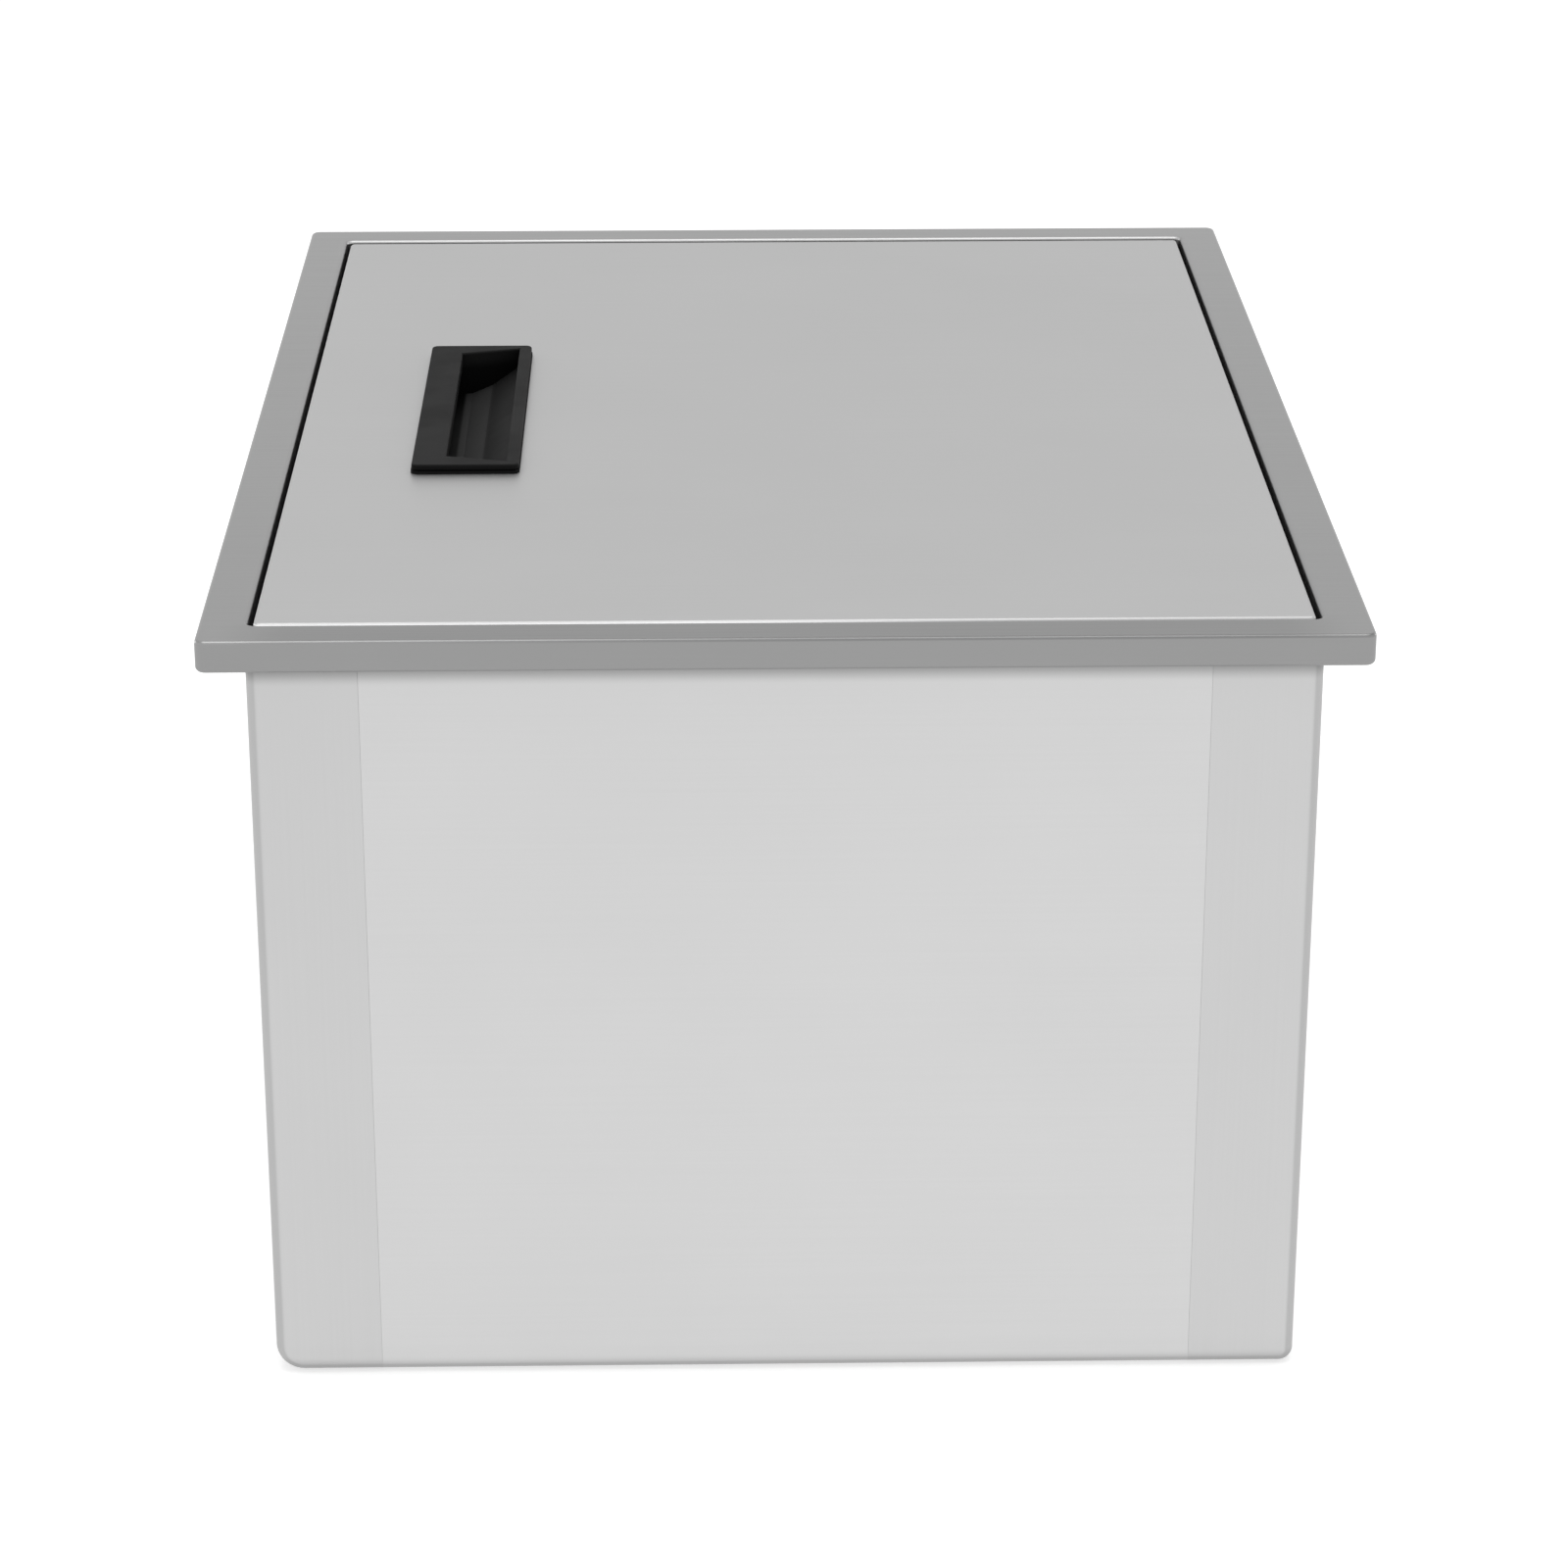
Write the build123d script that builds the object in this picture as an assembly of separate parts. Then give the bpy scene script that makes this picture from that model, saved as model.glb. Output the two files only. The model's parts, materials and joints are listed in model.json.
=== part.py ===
from build123d import *
import math
import os

# An insulated ice bin that drops into a counter cut-out and hangs by its rim.
# All sizes are in millimetres. X runs from left to right, Y from front to back, Z up.
# The origin is on the underside, below the middle of the well.

# The whole bin
bin_width = 432.0
bin_depth = 572.0
bin_height = 311.0
sheet = 0.8

# Clearances, the overrun of every cut, and how near a face counts as at a height
cut_over = 2.0
soft_gap = 0.3
fit_gap = 0.05
match_tolerance = 0.01

# The rim: a flat band, an apron outside it and a wall inside it
rim_band = 18.0
rim_corner_radius = 4.0
rim_fold_radius = 1.5
apron_height = 12.5
apron_return = 8.0
apron_fold_radius = 2.0
opening_corner_radius = 3.4

# The outer shell of folded panels
side_return = 41.6
end_return = 24.0
shell_fold_radius = 5.0
bottom_left_radius = 11.0
bottom_right_radius = 5.5
seam_groove = 0.05

# The inner tub, its ledge, its falling floor and its sump
ledge_width = 28.0
well_lip_radius = 3.0
well_corner_radius = 30.0
cove_radius = 20.0
floor_height = 36.0
floor_margin = 3.0
floor_fall = 4.0
sump_radius = 40.0
sump_flat = 4.0
sump_depth = 8.0
sump_fold_radius = 2.0

# The drain socket under the sump, and its washer
socket_radius = 21.0
socket_flange_radius = 28.0
socket_flange_thickness = 3.0
socket_set_back = 0.5
socket_hole_gap = 0.5
thread_bore_radius = 15.15
thread_depth = 15.0
thread_chamfer = 1.0
plug_seat_radius = 17.0
washer_thickness = 2.0

# The strainer that lies in the sump
strainer_sheet = 1.0
strainer_gap = 1.0
strainer_hole_radius = 2.0
strainer_hole_count = 20
strainer_notch_width = 7.0
strainer_notch_height = 3.0
strainer_notch_count = 4

# The rubber plug and its knob
plug_flange_radius = 21.0
plug_flange_thickness = 3.5
plug_edge_radius = 1.0
plug_taper = 0.7
plug_pass_gap = 2.0
knob_stud_radius = 2.5
knob_stud_length = 6.0
knob_collar_radius = 5.5
knob_collar_height = 1.5
knob_neck_radius = 2.8
knob_neck_height = 8.0
knob_radius = 8.0
knob_thickness = 9.0
knob_edge_radius = 3.5

# The lid, which lies forward in its opening by its end play
lid_side_gap = 2.0
lid_end_gap = 3.0
lid_forward = 1.8
lid_thickness = 25.0
lid_corner_radius = 2.0
lid_fold_radius = 1.5
tray_lip = 20.0
gasket_thickness = 3.0
gasket_width = 12.0
gasket_setback = 8.5
gasket_corner_radius = 16.0
gasket_edge_radius = 0.8

# The hinge at the lid's right edge: studs on the rim's walls, slotted hooks in the lid
hinge_inset = 7.5
hinge_drop = 6.0
pin_radius = 3.0
pin_clearance = 0.08
pin_engagement = 9.0
pin_end_space = 3.5
pin_chamfer = 0.6
pin_collar_radius = 4.5
pin_collar_thickness = 0.8
hook_width = 16.0
hook_length = 12.0
rivet_radius = 1.6
rivet_head_radius = 2.8
rivet_head_height = 0.8
rivet_head_edge = 0.4
rivet_grip = 6.0
rivet_inset = 3.5
rivet_spacing = 10.0

# The finger pull near the lid's left edge
pull_setback = 48.0
pull_forward = 4.0
pull_width = 44.0
pull_length = 170.0
pull_rise = 3.9
pull_base_rise = 1.2
pull_step = 0.3
pull_plate_thickness = 1.9
pull_groove_depth = 1.0
pull_corner_radius = 3.0
pull_edge_radius = 0.8
pull_side_overlap = 2.0
pull_end_overlap = 3.0
pull_wall = 1.6
pull_body_corner = 2.0
pocket_lip_margin = 14.0
pocket_far_margin = 5.5
pocket_lip_end_margin = 12.5
pocket_far_end_margin = 5.5
pocket_lip_thickness = 4.9
pocket_depth = 14.5
pocket_flat_run = 4.0
pocket_crease_depth = 11.5
pocket_crease_run = 12.0
pocket_far_depth = 4.0
clip_length = 14.0
clip_reach = 1.6
clip_height = 4.0
clip_place_share = 0.28

# Places that follow from the sizes above
rim_half_x = bin_width / 2
rim_half_y = bin_depth / 2
opening_half_x = rim_half_x - rim_band
opening_half_y = rim_half_y - rim_band
shell_half_x = opening_half_x + 2 * sheet
shell_half_y = opening_half_y + 2 * sheet
seam_x = shell_half_x - side_return
end_seam_y = shell_half_y - end_return
rim_top = bin_height
apron_base = rim_top - apron_height
shell_top = rim_top - sheet
ledge_top = rim_top - lid_thickness - gasket_thickness
well_half_x = opening_half_x - ledge_width
well_half_y = opening_half_y - ledge_width
sump_rim = floor_height - floor_fall
sump_floor = sump_rim - sump_depth
socket_flange_base = sheet + washer_thickness
lid_half_x = opening_half_x - lid_side_gap
lid_half_y = opening_half_y - lid_end_gap
lid_base = rim_top - lid_thickness
hinge_x = lid_half_x - hinge_inset
hinge_z = rim_top - hinge_drop
hook_right = lid_half_x - 2 * sheet
hook_outer = lid_half_y - 2 * sheet
pull_left = pull_setback - lid_half_x
pull_right = pull_left + pull_width
pull_top = rim_top + pull_rise
pocket_lip_x = pull_left + pocket_lip_margin
pocket_far_x = pull_right - pocket_far_margin
pocket_lip_half = pull_length / 2 - pocket_lip_end_margin
pocket_far_half = pull_length / 2 - pocket_far_end_margin


def slab(half_x, half_y, low, high, corner=0.0):
    """An upright block about the Z axis, with rounded upright edges where corner is over zero."""
    if corner > 0:
        outline = RectangleRounded(2 * half_x, 2 * half_y, corner)
    else:
        outline = Rectangle(2 * half_x, 2 * half_y)
    return Pos(0, 0, low) * extrude(outline, high - low)


def block(x_low, x_high, y_low, y_high, z_low, z_high):
    """A box between two opposite corners."""
    middle = Pos((x_low + x_high) / 2, (y_low + y_high) / 2, (z_low + z_high) / 2)
    return middle * Box(x_high - x_low, y_high - y_low, z_high - z_low)


def disc(radius, low, high):
    """An upright cylinder on the Z axis."""
    return Pos(0, 0, (low + high) / 2) * Cylinder(radius, high - low)


def rod(radius, x, z, y_low, y_high):
    """A cylinder that lies along Y."""
    return Pos(x, (y_low + y_high) / 2, z) * Rot(90, 0, 0) * Cylinder(radius, y_high - y_low)


def low_edges(solid):
    return solid.edges().group_by(Axis.Z)[0]


def high_edges(solid):
    return solid.edges().group_by(Axis.Z)[-1]


def hole_edges(face):
    """The edges of the one hole in a face."""
    return face.inner_wires()[0].edges()


def shell_form(inset, top):
    """The outer body, drawn in by inset at its sides and its underside."""
    half_x = shell_half_x - inset
    half_y = shell_half_y - inset
    section = Polyline((-half_x, top), (-half_x, inset), (half_x, inset), (half_x, top), close=True)
    face = make_face(Plane.XZ * section)
    body = extrude(face, half_y, both=True)
    lowest = body.edges().filter_by(Axis.Y).group_by(Axis.Z)[0].sort_by(Axis.X)
    body = fillet(lowest[0], bottom_left_radius - inset)
    lowest = body.edges().filter_by(Axis.Y).group_by(Axis.Z)[0].sort_by(Axis.X)
    body = fillet(lowest[-1], bottom_right_radius - inset)
    ends = body.edges().group_by(Axis.Y)
    folds = [edge for edge in ends[0] + ends[-1] if edge.center().Z < top - match_tolerance]
    return fillet(folds, shell_fold_radius - inset)


def well_form(grow, top):
    """The inside of the tub, let out by grow at its walls, floor and sump."""
    floor = floor_height - grow
    tub = slab(well_half_x + grow, well_half_y + grow, floor, top, well_corner_radius + grow)
    tub = fillet(low_edges(tub), cove_radius + grow)
    flat_half_x = well_half_x - cove_radius - floor_margin
    flat_half_y = well_half_y - cove_radius - floor_margin
    flat_edge = Pos(0, 0, floor) * Rectangle(2 * flat_half_x, 2 * flat_half_y)
    sump_square = 2 * (sump_radius + sump_flat)
    flat_middle = Pos(0, 0, floor - floor_fall) * Rectangle(sump_square, sump_square)
    fall = Solid.make_loft([flat_edge.wire(), flat_middle.wire()], True)
    sump = disc(sump_radius + grow, sump_floor - grow, floor)
    sump = fillet(low_edges(sump), sump_fold_radius + grow)
    return tub + fall + sump


def slot_form(end):
    """What a hinge stud passes through: open below, so that the lid lifts off. End is 1 at the rear."""
    radius = pin_radius + pin_clearance
    inner = end * (lid_half_y - pin_engagement - pin_end_space)
    outer = end * (lid_half_y + cut_over)
    y_low = min(inner, outer)
    y_high = max(inner, outer)
    eye = rod(radius, hinge_x, hinge_z, y_low, y_high)
    mouth = block(hinge_x - radius, hinge_x + radius, y_low, y_high, lid_base - cut_over, hinge_z)
    return eye + mouth


def make_rim_frame():
    rim = slab(rim_half_x, rim_half_y, apron_base, rim_top, rim_corner_radius)
    rim = fillet(high_edges(rim), rim_fold_radius)
    rim = fillet(low_edges(rim), apron_fold_radius)
    channel = slab(
        rim_half_x - sheet,
        rim_half_y - sheet,
        apron_base + sheet,
        rim_top - sheet,
        rim_corner_radius - sheet,
    )
    channel = fillet(high_edges(channel), rim_fold_radius - sheet)
    channel = fillet(low_edges(channel), apron_fold_radius - sheet)
    mouth = slab(
        rim_half_x - apron_return,
        rim_half_y - apron_return,
        apron_base - cut_over,
        apron_base + apron_height / 2,
        opening_corner_radius,
    )
    wall = slab(
        opening_half_x + sheet,
        opening_half_y + sheet,
        ledge_top,
        rim_top - sheet / 2,
        opening_corner_radius + sheet,
    )
    opening = slab(
        opening_half_x,
        opening_half_y,
        ledge_top - cut_over,
        rim_top + cut_over,
        opening_corner_radius,
    )
    rim = rim - channel - mouth + wall - opening
    band = rim.faces().sort_by(Axis.Z)[-1]
    return fillet(hole_edges(band), rim_fold_radius)


def make_shell():
    """All the outer panels in one, with a fine groove along each seam."""
    panels = shell_form(0, shell_top) - shell_form(sheet, shell_top + cut_over)
    bar = seam_groove * math.sqrt(2)
    for x in (-seam_x, seam_x):
        for y in (-shell_half_y, shell_half_y):
            panels -= Pos(x, y, shell_top / 2) * Rot(0, 0, 45) * Box(bar, bar, bin_height)
        panels -= Pos(x, 0, 0) * Rot(0, 45, 0) * Box(bar, bin_depth, bar)
    for y in (-end_seam_y, end_seam_y):
        panels -= Pos(0, y, 0) * Rot(45, 0, 0) * Box(2 * seam_x, bar, bar)
    return panels


def shell_piece(x_low, x_high, y_low, y_high):
    return shell & block(x_low, x_high, y_low, y_high, -cut_over, bin_height)


def make_left_side_panel():
    return shell_piece(-rim_half_x, -seam_x, -rim_half_y, rim_half_y)


def make_right_side_panel():
    return shell_piece(seam_x, rim_half_x, -rim_half_y, rim_half_y)


def make_front_panel():
    return shell_piece(-seam_x, seam_x, -rim_half_y, -end_seam_y)


def make_rear_panel():
    return shell_piece(-seam_x, seam_x, end_seam_y, rim_half_y)


def make_bottom_panel():
    panel = shell_piece(-seam_x, seam_x, -end_seam_y, end_seam_y)
    return panel - disc(socket_radius + socket_hole_gap, -cut_over, sheet + cut_over)


def make_ice_well():
    ledge = slab(
        opening_half_x + sheet,
        opening_half_y + sheet,
        ledge_top - sheet,
        ledge_top,
        opening_corner_radius + sheet,
    )
    well = ledge + well_form(sheet, ledge_top - sheet / 2)
    under_z = ledge_top - sheet
    under = [face for face in well.faces() if abs(face.center().Z - under_z) < match_tolerance]
    well = fillet(hole_edges(under[0]), well_lip_radius - sheet)
    well = well - well_form(0, ledge_top + cut_over)
    top = well.faces().sort_by(Axis.Z)[-1]
    well = fillet(hole_edges(top), well_lip_radius)
    return well - disc(plug_seat_radius, sump_floor - sheet - cut_over, sump_floor + cut_over)


def make_foam_insulation():
    top = ledge_top - sheet - soft_gap
    foam = shell_form(sheet + soft_gap, top) - well_form(sheet + soft_gap, top + cut_over)
    foam = fillet(hole_edges(foam.faces().sort_by(Axis.Z)[-1]), well_lip_radius - sheet - soft_gap)
    foam -= disc(socket_radius + soft_gap, 0, floor_height)
    flange_top = socket_flange_base + socket_flange_thickness
    return foam - disc(socket_flange_radius + soft_gap, 0, flange_top + soft_gap)


def make_drain_socket():
    top = sump_floor - sheet
    flange_top = socket_flange_base + socket_flange_thickness
    socket = disc(socket_radius, socket_set_back, top)
    socket += disc(socket_flange_radius, socket_flange_base, flange_top)
    thread_top = socket_set_back + thread_chamfer + thread_depth
    socket -= disc(thread_bore_radius, 0, top + cut_over)
    socket -= disc(plug_seat_radius, thread_top, top + cut_over)
    mouth = low_edges(socket).sort_by(SortBy.LENGTH)[0]
    return chamfer(mouth, thread_chamfer)


def make_socket_washer():
    washer = disc(socket_flange_radius, sheet, socket_flange_base)
    return washer - disc(socket_radius + soft_gap, 0, floor_height)


def make_drain_strainer():
    plate_radius = sump_radius - strainer_gap
    skirt_radius = sump_radius - sump_fold_radius - strainer_gap
    eye_radius = plug_flange_radius + plug_pass_gap
    plate_base = sump_rim - strainer_sheet
    strainer = disc(plate_radius, plate_base, sump_rim)
    strainer += disc(skirt_radius, sump_floor, plate_base)
    strainer -= disc(skirt_radius - strainer_sheet, sump_floor - cut_over, plate_base)
    strainer -= disc(eye_radius, plate_base - cut_over, sump_rim + cut_over)
    hole_circle = (eye_radius + skirt_radius) / 2
    hole = disc(strainer_hole_radius, plate_base - cut_over, sump_rim + cut_over)
    for place in PolarLocations(hole_circle, strainer_hole_count):
        strainer -= place * hole
    notch = block(
        -strainer_notch_width / 2,
        strainer_notch_width / 2,
        -skirt_radius - cut_over,
        skirt_radius + cut_over,
        sump_floor - cut_over,
        sump_floor + strainer_notch_height,
    )
    for turn in range(strainer_notch_count // 2):
        strainer -= Rot(0, 0, 180 * (2 * turn + 1) / strainer_notch_count) * notch
    return strainer


def make_drain_plug():
    shank_top = plug_seat_radius - soft_gap
    shank_base = shank_top - plug_taper
    thread_top = socket_set_back + thread_chamfer + thread_depth
    shank_length = sump_floor - thread_top - sheet
    flange_top = sump_floor + plug_flange_thickness
    shank = Pos(0, 0, sump_floor - shank_length / 2) * Cone(shank_base, shank_top, shank_length)
    flange = fillet(high_edges(disc(plug_flange_radius, sump_floor, flange_top)), plug_edge_radius)
    stud_hole = disc(knob_stud_radius + fit_gap, flange_top - knob_stud_length, flange_top + cut_over)
    return shank + flange - stud_hole


def make_plug_knob():
    base = sump_floor + plug_flange_thickness
    collar_top = base + knob_collar_height
    head_base = collar_top + knob_neck_height
    stud = disc(knob_stud_radius, base - knob_stud_length + fit_gap, base)
    collar = disc(knob_collar_radius, base, collar_top)
    neck = disc(knob_neck_radius, collar_top, head_base)
    head = disc(knob_radius, head_base, head_base + knob_thickness)
    rims = head.edges().filter_by(GeomType.CIRCLE)
    return stud + collar + neck + fillet(rims, knob_edge_radius)


def make_hinge_pin(end):
    """A stud with a collar, fixed to the rim's wall inside the gap beside the lid. End is 1 at the rear."""
    wall = end * opening_half_y
    tip = end * (lid_half_y - pin_engagement)
    collar_edge = end * (opening_half_y - pin_collar_thickness)
    stud = rod(pin_radius, hinge_x, hinge_z, min(wall, tip), max(wall, tip))
    tip_edges = stud.edges().group_by(Axis.Y)[-1 if end < 0 else 0]
    stud = chamfer(tip_edges, pin_chamfer)
    collar = rod(pin_collar_radius, hinge_x, hinge_z, min(wall, collar_edge), max(wall, collar_edge))
    return stud + collar


def make_hinge_pin_front():
    return make_hinge_pin(-1)


def make_hinge_pin_rear():
    return make_hinge_pin(1)


def lid_slots():
    return slot_form(-1) + slot_form(1)


def pull_cutout(grow, low, high):
    """The hole that the finger pull drops into, let out by grow."""
    half_x = pull_width / 2 - pull_side_overlap + grow
    half_y = pull_length / 2 - pull_end_overlap + grow
    return Pos((pull_left + pull_right) / 2, 0, 0) * slab(half_x, half_y, low, high, pull_body_corner)


def rivet_places():
    """The height of each rivet, and its distance from the middle of the bin along X."""
    x = hook_right - hook_width + rivet_inset
    middle = lid_base + tray_lip / 2
    return [(x, middle - rivet_spacing / 2), (x, middle + rivet_spacing / 2)]


def rivet_holes():
    holes = []
    for end in (-1, 1):
        inner = end * (hook_outer - rivet_grip)
        outer = end * (lid_half_y + cut_over)
        for x, z in rivet_places():
            holes.append(rod(rivet_radius + fit_gap, x, z, min(inner, outer), max(inner, outer)))
    return holes


def make_lid_top_panel():
    skin = slab(lid_half_x, lid_half_y, lid_base, rim_top, lid_corner_radius)
    skin = fillet(high_edges(skin), lid_fold_radius)
    inside = slab(
        lid_half_x - sheet,
        lid_half_y - sheet,
        lid_base - cut_over,
        rim_top - sheet,
        lid_corner_radius - sheet,
    )
    inside = fillet(high_edges(inside), lid_fold_radius - sheet)
    window = Pos(0, -pull_forward, 0) * pull_cutout(0, lid_base, rim_top + cut_over)
    skin = skin - inside - lid_slots() - window
    for hole in rivet_holes():
        skin -= hole
    return skin


def make_lid_bottom_panel():
    lip_top = lid_base + tray_lip
    tray = slab(
        lid_half_x - sheet, lid_half_y - sheet, lid_base, lip_top, lid_corner_radius - sheet
    )
    tray -= slab(hook_right, hook_outer, lid_base + sheet, lip_top + cut_over)
    tray -= lid_slots()
    for hole in rivet_holes():
        tray -= hole
    return tray


def make_lid_gasket():
    half_x = lid_half_x - gasket_setback
    half_y = lid_half_y - gasket_setback
    ring = slab(half_x, half_y, ledge_top, lid_base, gasket_corner_radius)
    ring -= slab(
        half_x - gasket_width,
        half_y - gasket_width,
        ledge_top - cut_over,
        lid_base + cut_over,
        gasket_corner_radius - gasket_width,
    )
    return fillet(low_edges(ring), gasket_edge_radius)


def make_hinge_hook(end):
    inner = end * (hook_outer - hook_length)
    outer = end * hook_outer
    hook = block(
        hook_right - hook_width,
        hook_right,
        min(inner, outer),
        max(inner, outer),
        lid_base + sheet,
        rim_top - sheet,
    )
    hook -= slot_form(end)
    for hole in rivet_holes():
        hook -= hole
    return hook


def make_hinge_hook_front():
    return make_hinge_hook(-1)


def make_hinge_hook_rear():
    return make_hinge_hook(1)


def make_hook_rivets():
    rivets = []
    for end in (-1, 1):
        face = end * lid_half_y
        crown = face + end * rivet_head_height
        tip = end * (hook_outer - rivet_grip) + end * fit_gap
        for x, z in rivet_places():
            head = rod(rivet_head_radius, x, z, min(face, crown), max(face, crown))
            crown_edge = head.edges().filter_by(GeomType.CIRCLE).group_by(Axis.Y)[0 if end < 0 else -1]
            head = fillet(crown_edge, rivet_head_edge)
            rivets.append(head + rod(rivet_radius, x, z, min(tip, face), max(tip, face)))
    return Compound(rivets)


def pocket_form():
    """The room for the fingers: open above, falling towards the lip and reaching under it."""
    back_x = pull_left + pull_side_overlap + soft_gap + pull_wall
    floor_z = rim_top - pocket_depth
    lip_z = pull_top - pocket_lip_thickness
    section = Polyline(
        (pocket_lip_x, pull_top + cut_over),
        (pocket_far_x, pull_top + cut_over),
        (pocket_far_x, rim_top - pocket_far_depth),
        (pocket_far_x - pocket_crease_run, rim_top - pocket_crease_depth),
        (pocket_lip_x + pocket_flat_run, floor_z),
        (back_x, floor_z),
        (back_x, lip_z),
        (pocket_lip_x, lip_z),
        close=True,
    )
    room = extrude(make_face(Plane.XZ * section), pull_length / 2, both=True)
    splay = (pocket_far_half - pocket_lip_half) / (pocket_far_x - pocket_lip_x)
    back_half = pocket_lip_half - splay * (pocket_lip_x - back_x)
    plan = Polyline(
        (back_x, -back_half),
        (pocket_far_x, -pocket_far_half),
        (pocket_far_x, pocket_far_half),
        (back_x, back_half),
        close=True,
    )
    ends = Pos(0, 0, floor_z) * extrude(make_face(plan), pull_top + cut_over - floor_z)
    return room & ends


def pull_layer(inset, low, high):
    """One layer of the pull's bezel, drawn in by inset all round."""
    half_x = pull_width / 2 - inset
    half_y = pull_length / 2 - inset
    return slab(half_x, half_y, low, high, pull_corner_radius - inset)


def pull_clips():
    """Four wedges on the pull's long sides, which snap in under the lid's skin."""
    clips = []
    high = rim_top - sheet - fit_gap
    for side, edge in ((-1, pull_left + pull_side_overlap), (1, pull_right - pull_side_overlap)):
        root = edge - side * soft_gap
        section = Polyline(
            (root, high),
            (root + side * clip_reach, high),
            (root, high - clip_height),
            close=True,
        )
        clip = extrude(make_face(Plane.XZ * section), clip_length / 2, both=True)
        for place in (-clip_place_share, clip_place_share):
            clips.append(Pos(0, place * pull_length, 0) * clip)
    return clips


def make_recessed_pull():
    middle = Pos((pull_left + pull_right) / 2, 0, 0)
    base = pull_layer(0, rim_top, rim_top + pull_base_rise)
    neck = pull_layer(pull_step + pull_groove_depth, rim_top, pull_top - pull_plate_thickness / 2)
    plate = pull_layer(pull_step, pull_top - pull_plate_thickness, pull_top)
    plate = fillet(high_edges(plate), pull_edge_radius)
    body_left = pull_left + pull_side_overlap + soft_gap
    body_right = pull_right - pull_side_overlap - soft_gap
    section = Polyline(
        (body_left, rim_top),
        (body_left, rim_top - pocket_depth - pull_wall),
        (pocket_lip_x + pocket_flat_run, rim_top - pocket_depth - pull_wall),
        (pocket_far_x - pocket_crease_run, rim_top - pocket_crease_depth - pull_wall),
        (body_right, rim_top - pocket_far_depth - pull_wall),
        (body_right, rim_top),
        close=True,
    )
    body = extrude(make_face(Plane.XZ * section), pull_length / 2, both=True)
    body &= pull_cutout(-soft_gap, lid_base, rim_top)
    pull = middle * (base + neck + plate) + body - pocket_form()
    face = pull.faces().filter_by(Axis.Z).sort_by(Axis.Z)[-1]
    pull = fillet(hole_edges(face), pull_edge_radius)
    for clip in pull_clips():
        pull += clip
    return Pos(0, -pull_forward, 0) * pull


def make_lid_foam():
    low = lid_base + sheet + soft_gap
    high = rim_top - sheet - soft_gap
    foam = slab(hook_right - soft_gap, hook_outer - soft_gap, low, high)
    body_base = rim_top - pocket_depth - pull_wall
    room = pull_cutout(clip_reach, body_base - soft_gap, high + cut_over)
    foam -= Pos(0, -pull_forward, 0) * room
    for end in (-1, 1):
        inner = end * (hook_outer - hook_length - soft_gap)
        outer = end * lid_half_y
        foam -= block(
            hook_right - hook_width - soft_gap,
            lid_half_x,
            min(inner, outer),
            max(inner, outer),
            lid_base,
            rim_top,
        )
    return foam


shell = make_shell()

bin_nodes = {
    "rim_frame": make_rim_frame,
    "left_side_panel": make_left_side_panel,
    "right_side_panel": make_right_side_panel,
    "front_panel": make_front_panel,
    "rear_panel": make_rear_panel,
    "bottom_panel": make_bottom_panel,
    "ice_well": make_ice_well,
    "foam_insulation": make_foam_insulation,
    "drain_socket": make_drain_socket,
    "socket_washer": make_socket_washer,
    "hinge_pin_front": make_hinge_pin_front,
    "hinge_pin_rear": make_hinge_pin_rear,
    "drain_strainer": make_drain_strainer,
    "drain_plug": make_drain_plug,
    "plug_knob": make_plug_knob,
}

lid_nodes = {
    "lid_top_panel": make_lid_top_panel,
    "lid_bottom_panel": make_lid_bottom_panel,
    "lid_foam": make_lid_foam,
    "lid_gasket": make_lid_gasket,
    "recessed_pull": make_recessed_pull,
    "hinge_hook_front": make_hinge_hook_front,
    "hinge_hook_rear": make_hinge_hook_rear,
    "hook_rivets": make_hook_rivets,
}

os.makedirs("parts", exist_ok=True)
for name, make in bin_nodes.items():
    export_step(make(), f"parts/{name}.step")
for name, make in lid_nodes.items():
    export_step(Pos(0, -lid_forward, 0) * make(), f"parts/{name}.step")
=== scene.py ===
import json
import math

import bmesh
import bpy
from mathutils import Matrix, Vector


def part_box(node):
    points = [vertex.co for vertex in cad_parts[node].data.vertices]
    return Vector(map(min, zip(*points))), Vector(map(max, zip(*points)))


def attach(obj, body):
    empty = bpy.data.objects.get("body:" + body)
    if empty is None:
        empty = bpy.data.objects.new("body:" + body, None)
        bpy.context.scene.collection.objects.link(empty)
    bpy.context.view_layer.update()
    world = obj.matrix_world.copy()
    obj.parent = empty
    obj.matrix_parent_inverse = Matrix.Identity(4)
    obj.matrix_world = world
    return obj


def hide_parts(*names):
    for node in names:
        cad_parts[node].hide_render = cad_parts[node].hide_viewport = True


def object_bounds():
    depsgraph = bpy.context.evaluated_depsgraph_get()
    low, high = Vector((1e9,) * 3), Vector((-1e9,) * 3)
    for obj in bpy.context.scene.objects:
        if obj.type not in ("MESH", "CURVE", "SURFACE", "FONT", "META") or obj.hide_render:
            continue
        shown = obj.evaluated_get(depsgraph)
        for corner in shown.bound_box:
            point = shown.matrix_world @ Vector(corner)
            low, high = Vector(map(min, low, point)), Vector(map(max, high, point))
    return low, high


# The ice bin's materials, its two soft pieces, and a camera, floor and lamps like the photograph's

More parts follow.
